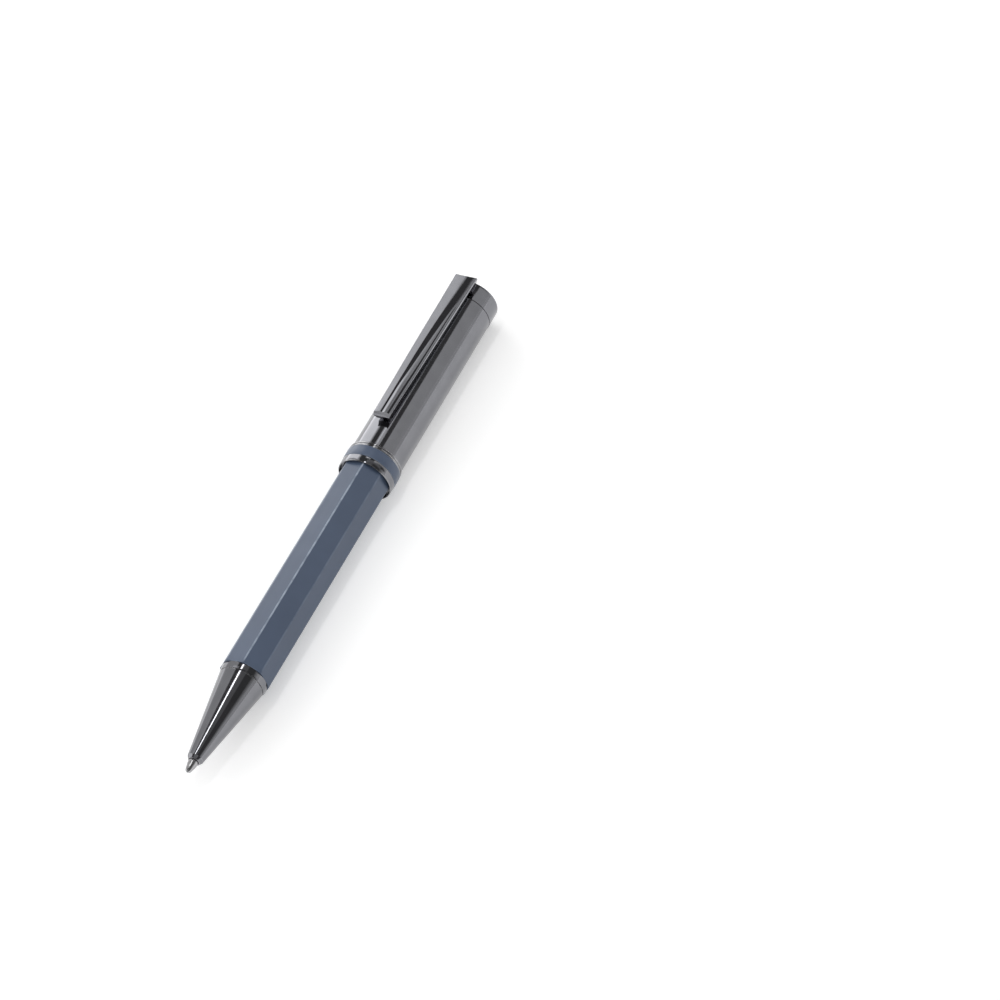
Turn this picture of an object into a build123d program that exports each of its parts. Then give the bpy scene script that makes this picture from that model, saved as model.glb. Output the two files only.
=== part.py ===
from build123d import *
import math
import os

# A twist-action ballpoint pen: turned nose, octagonal lower barrel, plain cap with a long clip.
# It is drawn along +X from the writing ball, then laid on its side with the clip straight up.
# All lengths are millimetres, all angles degrees.

# Fits shared by every piece
seat_gap = 0.02
running_gap = 0.05
end_gap = 0.10
cut_overrun = 2.0

# Lengths that show, from the writing end to the top
point_exposed_length = 2.8
nose_length = 23.0
barrel_visible_length = 56.7
ring_length = 1.8
band_length = 2.7
cap_visible_length = 46.6
finial_length = 4.7

# Refill point and its ball
ball_diameter = 0.8
ball_proud_length = 0.28
socket_lip_wall = 0.10
point_cone_length = 1.75
point_cone_base_diameter = 1.5
point_diameter = 1.8
point_length = 9.0
point_shank_diameter = 1.1
point_shank_length = 4.0
ink_channel_diameter = 0.4

# Nose
nose_rim_wall = 0.30
nose_lip_rise = 0.55
nose_lip_length = 0.7
nose_barrel_step = 0.02
nose_groove_offset = 1.5
nose_groove_width = 0.22
nose_groove_depth = 0.14
nose_tip_hole_length = 4.6
nose_neck_bore_wall = 0.75
nose_wall = 0.55
spring_seat_depth = 8.2
rear_nose_bore_length = 3.3
nose_socket_wall = 0.65

# Octagonal barrel
barrel_sides = 8
barrel_across_flats = 10.7
barrel_wall = 0.95
barrel_ridge_round = 0.4
barrel_entry_length = 1.0
barrel_flat_angle_from_clip = 33.0

# Bushes inside the barrel
front_spigot_length = 5.0
front_bush_length = 6.0
rear_bush_length = 8.0
rear_bush_wall = 0.40

# Centre ring, lacquered band and cap
ring_mouth_gap = 0.25
ring_wall = 0.38
ring_mouth_depth = 1.2
ring_edge_bevel = 0.15
band_step = 0.0
cap_step = 0.38
cap_wall = 0.96
cap_spigot_wall = 0.35
cap_rim_step = 0.07
cap_rim_length = 0.7

# Twist mechanism
twist_angle = 150.0
refill_travel = 4.2
housing_wall = 0.70
housing_seat_length = 7.5
collar_rise = 0.75
collar_length = 0.9
washer_length = 0.4
drag_ring_section = 0.9
pin_diameter = 1.2
pin_end_gap = 0.22
slot_gap = 0.08
slot_end_wall = 2.2
retainer_length = 0.9

# Refill and plunger
refill_tail_length = 14.6
refill_wall = 0.35
refill_gap = 0.30
holder_flange_length = 0.6
holder_plug_length = 4.0
holder_neck_gap = 0.30
holder_nose_length = 2.0
tail_plug_length = 4.0
tail_flange_length = 1.1
tail_vent_diameter = 1.0
plunger_length = 12.0
plunger_pin_offset = 6.0
plunger_cup_depth = 1.1

# Return spring, pressed short while the point is out
spring_turns = 7
spring_wire_diameter = 0.4
spring_bore_gap = 0.20
spring_corners_per_turn = 4

# Clip, finial and what holds them
clip_free_gap = 7.4
clip_top_setback = 0.4
clip_cap_gap = 0.35
clip_root_thickness = 1.4
clip_end_thickness = 1.8
clip_root_width = 5.3
clip_end_width = 4.0
clip_edge_bevel = 0.22
clip_end_bevel = 0.65
clip_end_bevel_length = 0.9
clip_nub_radius = 0.6
clip_nub_width = 2.2
clip_nub_gap = 0.10
clip_nub_setback = 2.4
foot_width = 3.2
foot_thickness = 1.0
foot_rise = 1.25
pivot_depth = 1.40
knuckle_gap = 0.05
notch_gap = 0.15
clip_ring_thickness = 0.8
tab_wall = 0.30
finial_step = 0.05
finial_edge_round = 0.7
stud_diameter = 3.0
stud_length = 7.0
cap_plug_length = 7.8

# Flutes on the face of the clip: places across its width, from the far edge, as shares of the width
long_flute_root_shares = (0.50, 0.70, 0.92)
long_flute_end_shares = (0.27, 0.35, 0.50)
long_flute_root_depth = 0.12
long_flute_end_depth = 0.36
short_flute_root_shares = (0.765, 0.77, 0.775)
short_flute_end_shares = (0.72, 0.79, 0.85)
short_flute_root_depth = 0.02
short_flute_end_depth = 0.34
short_flute_start = 10.0

# Stations along the pen that follow from the lengths
nose_rim_station = point_exposed_length
nose_end_station = nose_rim_station + nose_length
ring_station = nose_end_station + barrel_visible_length
band_station = ring_station + ring_length
cap_station = band_station + band_length
finial_station = cap_station + cap_visible_length
overall_length = finial_station + finial_length
barrel_end_station = ring_station + barrel_entry_length
spigot_station = ring_station + ring_mouth_depth
spring_seat_station = nose_rim_station + spring_seat_depth
nose_socket_station = nose_end_station - front_spigot_length - end_gap
spring_bore_end_station = nose_socket_station - rear_nose_bore_length
refill_shoulder_station = nose_end_station - front_spigot_length + holder_flange_length
refill_end_station = barrel_end_station + refill_tail_length
pin_station = refill_end_station + plunger_pin_offset
drag_ring_station = barrel_end_station + collar_length
rear_collar_station = drag_ring_station + drag_ring_section + 2 * seat_gap
washer_station = rear_collar_station + collar_length
sleeve_station = washer_station + washer_length + end_gap
sleeve_end_station = pin_station + refill_travel + pin_diameter / 2 + slot_gap + slot_end_wall
retainer_station = sleeve_end_station + end_gap
housing_end_station = retainer_station + retainer_length
clip_end_station = cap_station + clip_free_gap
clip_root_station = overall_length - clip_top_setback
clip_ring_station = finial_station - clip_ring_thickness
pivot_station = finial_station + foot_rise

# Radii, worked inwards from the octagonal barrel and outwards to the clip
barrel_apothem = barrel_across_flats / 2
half_side_angle = math.radians(180 / barrel_sides)
ridge_radius = (barrel_apothem - barrel_ridge_round) / math.cos(half_side_angle) + barrel_ridge_round
barrel_bore = barrel_apothem - barrel_wall
housing_radius = barrel_bore - rear_bush_wall - 2 * seat_gap
housing_bore = housing_radius - housing_wall
refill_radius = housing_bore - refill_gap
refill_bore = refill_radius - refill_wall
ring_mouth = ridge_radius + ring_mouth_gap
ring_radius = ring_mouth + ring_wall
band_radius = ring_radius - band_step
cap_radius = ring_radius - cap_step
cap_bore = cap_radius - cap_wall
cap_spigot = cap_bore + cap_spigot_wall
cap_rim = band_radius - cap_rim_step
sleeve_radius = cap_bore - seat_gap
sleeve_bore = housing_radius + running_gap
collar_radius = housing_radius + collar_rise
finial_radius = cap_radius + finial_step
clip_underside = cap_radius + clip_cap_gap
pivot_radius = finial_radius - pivot_depth
point_radius = point_diameter / 2
nose_tip_hole = point_radius + running_gap
nose_rim = nose_tip_hole + nose_rim_wall
nose_lip = nose_rim + nose_lip_rise
nose_base = barrel_apothem - nose_barrel_step
pin_radius = pin_diameter / 2
slot_radius = pin_radius + slot_gap
stud_radius = stud_diameter / 2


def nose_radius(station):
    """Outside radius of the nose's straight cone."""
    share = (station - nose_rim_station - nose_lip_length) / (nose_length - nose_lip_length)
    return nose_lip + share * (nose_base - nose_lip)


nose_neck_bore = nose_radius(nose_rim_station + nose_tip_hole_length) - nose_neck_bore_wall
spring_bore = nose_radius(spring_seat_station) - nose_wall
rear_nose_bore = nose_radius(spring_bore_end_station) - nose_wall
front_spigot = nose_radius(nose_socket_station) - nose_socket_wall
spring_mean_radius = spring_bore - spring_bore_gap - spring_wire_diameter / 2
holder_neck = spring_mean_radius - spring_wire_diameter / 2 - holder_neck_gap


def turned(*outline):
    """Solid of revolution about the pen's axis from a closed outline of (station, radius) points."""
    edge = Polyline(*[(station, 0, radius) for station, radius in outline], close=True)
    return revolve(make_face(edge), Axis.X)


def tube(start, end, outer, inner):
    """Plain turned tube between two stations."""
    return turned((start, inner), (end, inner), (end, outer), (start, outer))


def rod(start, end, radius):
    """Plain turned rod between two stations."""
    return turned((start, 0), (end, 0), (end, radius), (start, radius))


def cross_cylinder(station, height, radius, width):
    """Cylinder that lies across the pen, along Y."""
    return Pos(station, 0, height) * Rot(90, 0, 0) * Cylinder(radius, width)


def block(start, end, width, low, high):
    """Box between two stations and two heights above the axis, centred across the pen."""
    middle = Pos((start + end) / 2, 0, (low + high) / 2)
    return middle * Box(end - start, width, high - low)


def make_writing_ball():
    return Pos(ball_diameter / 2, 0, 0) * Sphere(ball_diameter / 2)


def make_refill_point():
    """Turned metal point with the socket that the ball rolls in and the channel that feeds it."""
    ball_radius = ball_diameter / 2
    lip = ball_radius + socket_lip_wall
    cone_end = ball_proud_length + point_cone_length
    body = turned(
        (ball_proud_length, 0),
        (point_length + point_shank_length, 0),
        (point_length + point_shank_length, point_shank_diameter / 2),
        (point_length, point_shank_diameter / 2),
        (point_length, point_radius),
        (cone_end, point_radius),
        (cone_end, point_cone_base_diameter / 2),
        (ball_proud_length, lip),
    )
    socket = Pos(ball_radius, 0, 0) * Sphere(ball_radius + seat_gap)
    channel = rod(ball_radius, point_length + point_shank_length + cut_overrun, ink_channel_diameter / 2)
    return body - socket - channel


def make_refill_holder():
    """Plastic neck between the metal point and the ink tube, with the flange the spring pushes on."""
    flange_start = refill_shoulder_station - holder_flange_length
    plug_end = refill_shoulder_station + holder_plug_length
    channel = point_shank_diameter / 2 + seat_gap
    return turned(
        (point_length, channel),
        (plug_end, channel),
        (plug_end, refill_bore - seat_gap),
        (refill_shoulder_station, refill_bore - seat_gap),
        (refill_shoulder_station, refill_radius),
        (flange_start, refill_radius),
        (flange_start, holder_neck),
        (point_length + holder_nose_length, holder_neck),
        (point_length, point_radius),
    )


def make_refill_tube():
    return tube(refill_shoulder_station, refill_end_station - tail_flange_length, refill_radius, refill_bore)


def make_refill_tail():
    """Vented plug that closes the ink tube and takes the plunger's push."""
    flange_start = refill_end_station - tail_flange_length
    vent = tail_vent_diameter / 2
    return turned(
        (flange_start - tail_plug_length, vent),
        (refill_end_station, vent),
        (refill_end_station, refill_radius),
        (flange_start, refill_radius),
        (flange_start, refill_bore - seat_gap),
        (flange_start - tail_plug_length, refill_bore - seat_gap),
    )


def make_plunger():
    """Plunger whose cup holds the refill's tail; the cross pin goes through its shank."""
    radius = housing_bore - running_gap
    cup_start = refill_end_station - plunger_cup_depth
    cup = refill_radius + seat_gap
    body = turned(
        (cup_start, cup),
        (refill_end_station, cup),
        (refill_end_station, 0),
        (refill_end_station + plunger_length, 0),
        (refill_end_station + plunger_length, radius),
        (cup_start, radius),
    )
    return body - cross_cylinder(pin_station, 0, pin_radius + seat_gap, 2 * (radius + cut_overrun))


def make_cross_pin():
    return cross_cylinder(pin_station, 0, pin_radius, 2 * (sleeve_radius - pin_end_gap))


def make_nose_cone():
    """Turned nose: chamfered rim, straight cone, fine engraved line, stepped bore."""
    groove_end = nose_end_station - nose_groove_offset
    groove_start = groove_end - nose_groove_width
    groove_floor = nose_radius(groove_start) - nose_groove_depth
    hole_end = nose_rim_station + nose_tip_hole_length
    socket = front_spigot + seat_gap
    return turned(
        (nose_rim_station, nose_tip_hole),
        (hole_end, nose_tip_hole),
        (hole_end, nose_neck_bore),
        (spring_seat_station, nose_neck_bore),
        (spring_seat_station, spring_bore),
        (spring_bore_end_station, spring_bore),
        (spring_bore_end_station, rear_nose_bore),
        (nose_socket_station, rear_nose_bore),
        (nose_socket_station, socket),
        (nose_end_station, socket),
        (nose_end_station, nose_base),
        (groove_end, nose_radius(groove_end)),
        (groove_end, groove_floor),
        (groove_start, groove_floor),
        (groove_start, nose_radius(groove_start)),
        (nose_rim_station + nose_lip_length, nose_lip),
        (nose_rim_station, nose_rim),
    )


def make_front_bush():
    """Brass bush in the front of the barrel; its spigot carries the nose."""
    bore = refill_radius + refill_gap
    bush_end = nose_end_station + front_bush_length
    return turned(
        (nose_end_station - front_spigot_length, bore),
        (bush_end, bore),
        (bush_end, barrel_bore - seat_gap),
        (nose_end_station, barrel_bore - seat_gap),
        (nose_end_station, front_spigot),
        (nose_end_station - front_spigot_length, front_spigot),
    )


def make_lower_barrel():
    """Octagonal tube with softly rounded ridges."""
    vertex_angle = 90 + barrel_flat_angle_from_clip - 180 / barrel_sides
    section = RegularPolygon(barrel_apothem, barrel_sides, major_radius=False, rotation=vertex_angle)
    section = fillet(section.vertices(), barrel_ridge_round)
    body = extrude(Plane.YZ * section, barrel_end_station - nose_end_station)
    body = Pos(nose_end_station, 0, 0) * body
    return body - rod(nose_end_station - cut_overrun, barrel_end_station + cut_overrun, barrel_bore)


def make_rear_bush():
    """Brass bush in the rear of the barrel; the mechanism housing is screwed into it."""
    start = barrel_end_station - rear_bush_length
    return tube(start, barrel_end_station, barrel_bore - seat_gap, housing_radius + seat_gap)


def make_mechanism_housing():
    """Fixed tube of the twist mechanism: collars, drag ring groove and two straight slots."""
    start = barrel_end_station - housing_seat_length
    body = turned(
        (start, housing_bore),
        (housing_end_station, housing_bore),
        (housing_end_station, housing_radius),
        (washer_station, housing_radius),
        (washer_station, collar_radius),
        (rear_collar_station, collar_radius),
        (rear_collar_station, housing_radius),
        (drag_ring_station, housing_radius),
        (drag_ring_station, collar_radius),
        (barrel_end_station, collar_radius),
        (barrel_end_station, housing_radius),
        (start, housing_radius),
    )
    width = 2 * (housing_radius + cut_overrun)
    slot = block(pin_station, pin_station + refill_travel, width, -slot_radius, slot_radius)
    slot += cross_cylinder(pin_station, 0, slot_radius, width)
    slot += cross_cylinder(pin_station + refill_travel, 0, slot_radius, width)
    return body - slot


def make_drag_ring():
    """Rubber ring in the housing's groove that gives the twist its smooth drag."""
    inner = housing_radius + seat_gap
    outer = cap_bore - running_gap
    section = Plane.XZ * Pos(drag_ring_station + seat_gap + drag_ring_section / 2, (inner + outer) / 2)
    return revolve(section * Ellipse(drag_ring_section / 2, (outer - inner) / 2), Axis.X)


def make_thrust_washer():
    return tube(washer_station, washer_station + washer_length, collar_radius, sleeve_bore)


def make_retainer():
    """Ring at the end of the housing that keeps the cam sleeve on it."""
    return tube(retainer_station, housing_end_station, collar_radius, housing_radius + seat_gap)


def helical_slot():
    """Solid that cuts one helical slot: the pin's path as the sleeve turns round it."""
    lead = refill_travel * 360 / twist_angle
    path_radius = (sleeve_radius + sleeve_bore) / 2
    depth = sleeve_radius - sleeve_bore + 2 * running_gap + 2 * slot_gap
    path = Helix(lead, refill_travel, path_radius, lefthand=True)
    start = Plane(path @ 0, x_dir=(1, 0, 0), z_dir=path % 0)
    slot = sweep(start * Rectangle(depth, 2 * slot_radius), path, is_frenet=True)
    end_cutter = Pos(path_radius, 0, 0) * Rot(0, 90, 0) * Cylinder(slot_radius, depth)
    slot += end_cutter
    slot += Pos(0, 0, refill_travel) * Rot(0, 0, -twist_angle) * end_cutter
    return slot


def make_cam_sleeve():
    """Sleeve fixed in the cap; its two helical slots drive the pin along as it turns."""
    body = tube(sleeve_station, sleeve_end_station, sleeve_radius, sleeve_bore)
    slot = Pos(pin_station, 0, 0) * Rot(90, 0, 0) * Rot(0, 90, 0) * helical_slot()
    return body - slot - Rot(180, 0, 0) * slot


def make_center_ring():
    """Turned ring; the barrel's end turns freely inside its mouth."""
    return turned(
        (ring_station, ring_mouth),
        (spigot_station, ring_mouth),
        (spigot_station, cap_spigot + seat_gap),
        (band_station, cap_spigot + seat_gap),
        (band_station, ring_radius - ring_edge_bevel),
        (band_station - ring_edge_bevel, ring_radius),
        (ring_station + ring_edge_bevel, ring_radius),
        (ring_station, ring_radius - ring_edge_bevel),
    )


def make_lacquered_band():
    return tube(band_station, cap_station, band_radius, cap_spigot + seat_gap)


def make_cap_tube():
    """Cap tube with a bevelled rim at its foot and a spigot that carries the band and the ring."""
    return turned(
        (spigot_station, cap_bore),
        (finial_station, cap_bore),
        (finial_station, cap_radius),
        (cap_station + cap_rim_length, cap_radius),
        (cap_station, cap_rim),
        (cap_station, cap_spigot),
        (spigot_station, cap_spigot),
    )


def make_cap_plug():
    """Threaded plug in the top of the cap that the finial's stud screws into."""
    start = clip_ring_station - cap_plug_length
    return tube(start, clip_ring_station, cap_bore - seat_gap, stud_radius + seat_gap)


def make_clip_ring():
    """Washer clamped under the finial, with the tab that holds the clip's foot."""
    washer = tube(clip_ring_station, finial_station, cap_bore - seat_gap, stud_radius + seat_gap)
    socket = foot_thickness / 2 + knuckle_gap
    tab_end = pivot_station + socket + tab_wall
    tab_foot = pivot_radius - socket - tab_wall
    tab = block(clip_ring_station, tab_end, foot_width, tab_foot, pivot_radius)
    return washer + tab - cross_cylinder(pivot_station, pivot_radius, socket, foot_width + cut_overrun)


def make_finial():
    """Top button with a stud below it and a half-round notch for the clip's foot."""
    top = rod(finial_station, overall_length, finial_radius)
    top = fillet(top.edges().sort_by(Axis.X)[-1], finial_edge_round)
    tab_reach = foot_rise + foot_thickness / 2 + knuckle_gap + tab_wall
    notch_radius = math.hypot(tab_reach, foot_width / 2) + notch_gap
    notch_foot = pivot_radius - foot_thickness / 2 - knuckle_gap - tab_wall - notch_gap
    notch_depth = finial_radius + cut_overrun - notch_foot
    notch = Pos(finial_station, 0, notch_foot + notch_depth / 2) * Cylinder(notch_radius, notch_depth)
    return top - notch + rod(finial_station - stud_length, finial_station, stud_radius)


def clip_section(station, width, face_height):
    """Outline of the clip's bar at one station, with its two outer edges bevelled."""
    side = width / 2
    corners = [
        (station, -side, clip_underside),
        (station, side, clip_underside),
        (station, side, face_height - clip_edge_bevel),
        (station, side - clip_edge_bevel, face_height),
        (station, clip_edge_bevel - side, face_height),
        (station, -side, face_height - clip_edge_bevel),
    ]
    return make_face(Polyline(*corners, close=True))


def clip_face_at(station):
    """Width and face height of the clip's bar at a station between its free end and its root."""
    share = (station - clip_end_station) / (clip_root_station - clip_end_station)
    width = clip_end_width + share * (clip_root_width - clip_end_width)
    thickness = clip_end_thickness + share * (clip_root_thickness - clip_end_thickness)
    return width, clip_underside + thickness


def flute_section(station, shares, depth):
    """Triangular section of a flute, closed a little above the clip's face."""
    width, face_height = clip_face_at(station)
    left, deepest, right = [width / 2 - share * width for share in shares]
    corners = [
        (station, left, face_height + running_gap),
        (station, left, face_height),
        (station, deepest, face_height - depth),
        (station, right, face_height),
        (station, right, face_height + running_gap),
    ]
    return make_face(Polyline(*corners, close=True))


def make_clip():
    """Tapered clip bar with two converging flutes, a nub at the free end and a foot with its knuckle."""
    end_width, end_height = clip_face_at(clip_end_station)
    bevel_station = clip_end_station + clip_end_bevel_length
    bar = loft(
        [clip_section(clip_end_station, end_width, end_height - clip_end_bevel),
         clip_section(bevel_station, *clip_face_at(bevel_station)),
         clip_section(clip_root_station, *clip_face_at(clip_root_station))],
        ruled=True,
    )
    long_flute = loft(
        [flute_section(clip_end_station, long_flute_end_shares, long_flute_end_depth),
         flute_section(clip_root_station, long_flute_root_shares, long_flute_root_depth)],
        ruled=True,
    )
    short_flute = loft(
        [flute_section(clip_end_station, short_flute_end_shares, short_flute_end_depth),
         flute_section(clip_root_station - short_flute_start, short_flute_root_shares, short_flute_root_depth)],
        ruled=True,
    )
    nub_station = clip_end_station + clip_nub_setback
    nub_height = cap_radius + clip_nub_gap + clip_nub_radius
    half_foot = foot_thickness / 2
    foot_start = pivot_station - half_foot
    foot = block(foot_start, pivot_station + half_foot, foot_width, pivot_radius, clip_underside + clip_edge_bevel)
    clip = bar - long_flute - short_flute
    clip += cross_cylinder(nub_station, nub_height, clip_nub_radius, clip_nub_width)
    clip += foot
    clip += cross_cylinder(pivot_station, pivot_radius, half_foot, foot_width)
    return clip


def spring_points():
    """Corners of the square helix whose inscribed arcs make the spring's centre line."""
    start = spring_seat_station + spring_wire_diameter / 2 + seat_gap
    end = refill_shoulder_station - holder_flange_length - spring_wire_diameter / 2 - seat_gap
    count = spring_turns * spring_corners_per_turn + 2
    corner_radius = spring_mean_radius / math.cos(math.pi / spring_corners_per_turn)
    points = []
    for index in range(count):
        angle = 2 * math.pi * index / spring_corners_per_turn
        station = start + (end - start) * index / (count - 1)
        points.append(Vector(station, corner_radius * math.cos(angle), corner_radius * math.sin(angle)))
    return points


def spring_path():
    """Tangent arcs from the middle of one leg of the square helix to the middle of the next."""
    corners = spring_points()
    arcs = []
    for before, corner, after in zip(corners, corners[1:], corners[2:]):
        start = (before + corner) / 2
        end = (corner + after) / 2
        chord_middle = (start + end) / 2
        half_turn = math.radians((corner - before).get_angle(after - corner)) / 2
        arc_radius = (corner - start).length / math.tan(half_turn)
        sagitta = arc_radius * (1 - math.cos(half_turn))
        crown = chord_middle + (corner - chord_middle).normalized() * sagitta
        arcs.append(ThreePointArc(start, crown, end))
    return Wire(arcs)


def make_return_spring():
    path = spring_path()
    section = Plane(path @ 0, z_dir=path % 0) * Circle(spring_wire_diameter / 2)
    return sweep(section, path)


def print_spring_gap():
    """Least gap between neighbouring turns of the spring, measured on points of its centre line."""
    path = spring_path()
    count = spring_turns * 24
    points = [path @ (index / count) for index in range(count + 1)]
    least = min(
        (first - second).length
        for place, first in enumerate(points)
        for second in points[place + 12:]
    )
    print(f"return spring: least gap to itself {least - spring_wire_diameter:.2f} mm")


makers = {
    "writing_ball": make_writing_ball,
    "refill_point": make_refill_point,
    "refill_holder": make_refill_holder,
    "refill_tube": make_refill_tube,
    "refill_tail": make_refill_tail,
    "plunger": make_plunger,
    "cross_pin": make_cross_pin,
    "return_spring": make_return_spring,
    "nose_cone": make_nose_cone,
    "front_bush": make_front_bush,
    "lower_barrel": make_lower_barrel,
    "rear_bush": make_rear_bush,
    "mechanism_housing": make_mechanism_housing,
    "drag_ring": make_drag_ring,
    "thrust_washer": make_thrust_washer,
    "retainer": make_retainer,
    "cam_sleeve": make_cam_sleeve,
    "center_ring": make_center_ring,
    "lacquered_band": make_lacquered_band,
    "cap_tube": make_cap_tube,
    "cap_plug": make_cap_plug,
    "clip_ring": make_clip_ring,
    "clip": make_clip,
    "finial": make_finial,
}

os.makedirs("parts", exist_ok=True)
laid_down = Pos(-overall_length / 2, 0, ring_radius)
for node, make in makers.items():
    export_step(laid_down * make(), f"parts/{node}.step")
print_spring_gap()
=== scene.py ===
import math

import bmesh
import bpy
from mathutils import Matrix, Vector


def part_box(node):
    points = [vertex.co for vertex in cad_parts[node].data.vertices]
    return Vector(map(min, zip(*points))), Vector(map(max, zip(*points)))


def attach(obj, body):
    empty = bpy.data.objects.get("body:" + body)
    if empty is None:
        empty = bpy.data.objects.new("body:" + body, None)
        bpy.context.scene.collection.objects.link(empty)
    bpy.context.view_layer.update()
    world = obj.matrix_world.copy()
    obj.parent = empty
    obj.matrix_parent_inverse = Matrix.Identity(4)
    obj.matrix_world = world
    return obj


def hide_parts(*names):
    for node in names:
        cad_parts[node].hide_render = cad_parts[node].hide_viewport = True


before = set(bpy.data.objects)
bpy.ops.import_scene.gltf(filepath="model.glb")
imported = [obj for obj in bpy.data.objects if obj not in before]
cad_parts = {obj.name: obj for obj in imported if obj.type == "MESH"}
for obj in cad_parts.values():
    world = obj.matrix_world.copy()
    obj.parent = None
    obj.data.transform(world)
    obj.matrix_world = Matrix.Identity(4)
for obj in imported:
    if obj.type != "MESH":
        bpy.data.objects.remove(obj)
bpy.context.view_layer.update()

bl_info = {
    "name": "Twist Pen",
    "version": (1, 0, 0),
    "blender": (4, 5, 0),
    "location": "View3D > Sidebar > Pen",
    "description": "Dresses the packed solids of a twist ballpoint pen and sets up its studio",
    "category": "Object",
}

MM = 0.001
ring_low, ring_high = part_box("center_ring")
AXIS_Z = (ring_low.z + ring_high.z) / 2

# Distances below which places count as level, faces as too small to keep, and corners as one.
LEVEL = 0.01 * MM
TINY = 0.001 * MM
TOUCHING = 0.0001 * MM
# How far the plain cap stands back from the finial.
FINIAL_STEP = 0.05 * MM
ALONG = Vector((1.0, 0.0, 0.0))
UPWARD = Vector((0.0, 0.0, 1.0))
WHITE = (1.0, 1.0, 1.0, 1.0)


def span(node):
    """First and last place of a node along the pen."""
    low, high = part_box(node)
    return low.x, high.x


def reach(node):
    """Largest radius of a node about the pen's axis."""
    low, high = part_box(node)
    return (high.y - low.y) / 2


def length(name, text, default):
    return bpy.props.FloatProperty(
        name=name, description=text, default=default, min=0.0, precision=6, unit="LENGTH")


def amount(name, text, default, most=1.0):
    return bpy.props.FloatProperty(
        name=name, description=text, default=default, min=0.0, max=most)


def colour(name, text, default):
    return bpy.props.FloatVectorProperty(
        name=name, description=text, default=default, min=0.0, max=1.0, size=3, subtype="COLOR")


class PenSizes(bpy.types.PropertyGroup):
    """Sizes of the details that the turned pieces and the clip carry."""

    turning_steps: bpy.props.IntProperty(
        name="Turning steps", description="Facets round each turned piece",
        default=224, min=48, max=512)
    edge_round: length("Edge round", "Rounding of the turned edges", 0.07 * MM)
    fine_round: length("Fine round", "Rounding of the smallest edges", 0.025 * MM)
    point_tip: length("Point tip", "Radius of the point round its ball", 0.64 * MM)
    point_shank: length("Point shank", "Radius of the point where it leaves the nose", 1.04 * MM)
    nose_tip_hole: length("Nose hole", "Radius of the hole that the point comes out of", 1.1 * MM)
    nose_setback: length(
        "Nose setback", "How far the nose's rim is turned back from its solid's end", 0.2 * MM)
    nose_rim: length("Nose rim", "Outer radius of the nose's flat rim", 1.36 * MM)
    nose_lip: length("Nose lip", "Radius where the rim's chamfer meets the cone", 1.8 * MM)
    nose_lip_length: length("Nose lip length", "Length of the rim's chamfer", 0.7 * MM)
    nose_line_offset: length(
        "Nose line offset", "Engraved line's distance from the barrel", 1.5 * MM)
    nose_line_width: length("Nose line width", "Width of the engraved line", 0.22 * MM)
    nose_line_depth: length("Nose line depth", "Depth of the engraved line", 0.14 * MM)
    barrel_across_flats: length("Across flats", "Barrel's size across its flats", 10.7 * MM)
    barrel_ridge_round: length("Ridge round", "Rounding of the barrel's ridges", 0.55 * MM)
    barrel_bore: length("Barrel bore", "Radius of the barrel's bore", 4.4 * MM)
    barrel_turn: bpy.props.FloatProperty(
        name="Barrel turn", description="Angle of one flat from the clip",
        default=math.radians(33), unit="ROTATION")
    ring_mouth: length("Ring mouth", "Radius of the ring's open mouth", 6.08 * MM)
    ring_mouth_depth: length("Ring mouth depth", "Depth of the ring's mouth", 1.2 * MM)
    ring_taper: length("Ring taper", "How much less the ring's radius is at its mouth", 0.1 * MM)
    ring_edge_bevel: length("Ring edge bevel", "Bevel on the ring's outer edges", 0.12 * MM)
    spigot: length("Spigot", "Radius of the cap's spigot inside the ring and the band", 5.398 * MM)
    cap_radius: length("Cap radius", "Radius of the plain cap", reach("finial") - FINIAL_STEP)
    cap_bore: length("Cap bore", "Radius of the cap's bore", 5.0478 * MM)
    cap_bead_length: length(
        "Cap bead length", "Length of each of the two beads at the cap's foot", 0.45 * MM)
    cap_groove_length: length(
        "Cap groove length", "Length of the fine groove between the beads", 0.2 * MM)
    cap_groove_depth: length(
        "Cap groove depth", "Depth of the fine groove between the beads", 0.14 * MM)
    cap_joint_bevel: length("Cap joint bevel", "Bevel at the joint with the finial", 0.12 * MM)
    clip_root_thickness: length("Clip root thickness", "Clip's thickness at the finial", 1.4 * MM)
    clip_end_thickness: length("Clip end thickness", "Clip's thickness at its free end", 1.8 * MM)
    clip_gap: length("Clip gap", "Gap between the clip and the cap", 0.35 * MM)
    clip_far_round: length(
        "Clip far round", "Rounding of the clip's long edge on its plain side", 0.24 * MM)
    clip_near_round: length(
        "Clip near round", "Rounding of the clip's long edge on its grooved side", 0.07 * MM)
    clip_undercut: length(
        "Clip undercut", "How far the clip's sides lean in under its face", 0.45 * MM)
    clip_end_bevel: length(
        "Clip end bevel", "Height of the bevel across the clip's free end", 0.4 * MM)
    clip_end_bevel_length: length(
        "Clip end bevel length", "Length of that bevel along the clip", 1.02 * MM)
    clip_edge_round: length("Clip edge round", "Rounding of the clip's edges", 0.05 * MM)
    clip_corner_round: length(
        "Clip corner round", "Rounding of the two corners at the clip's root", 0.35 * MM)
    clip_nub_setback: length(
        "Clip nub setback", "Nub's distance from the clip's free end", 2.4 * MM)
    clip_foot_width: length(
        "Clip foot width", "Width of the foot that goes into the finial", 3.2 * MM)


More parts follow.
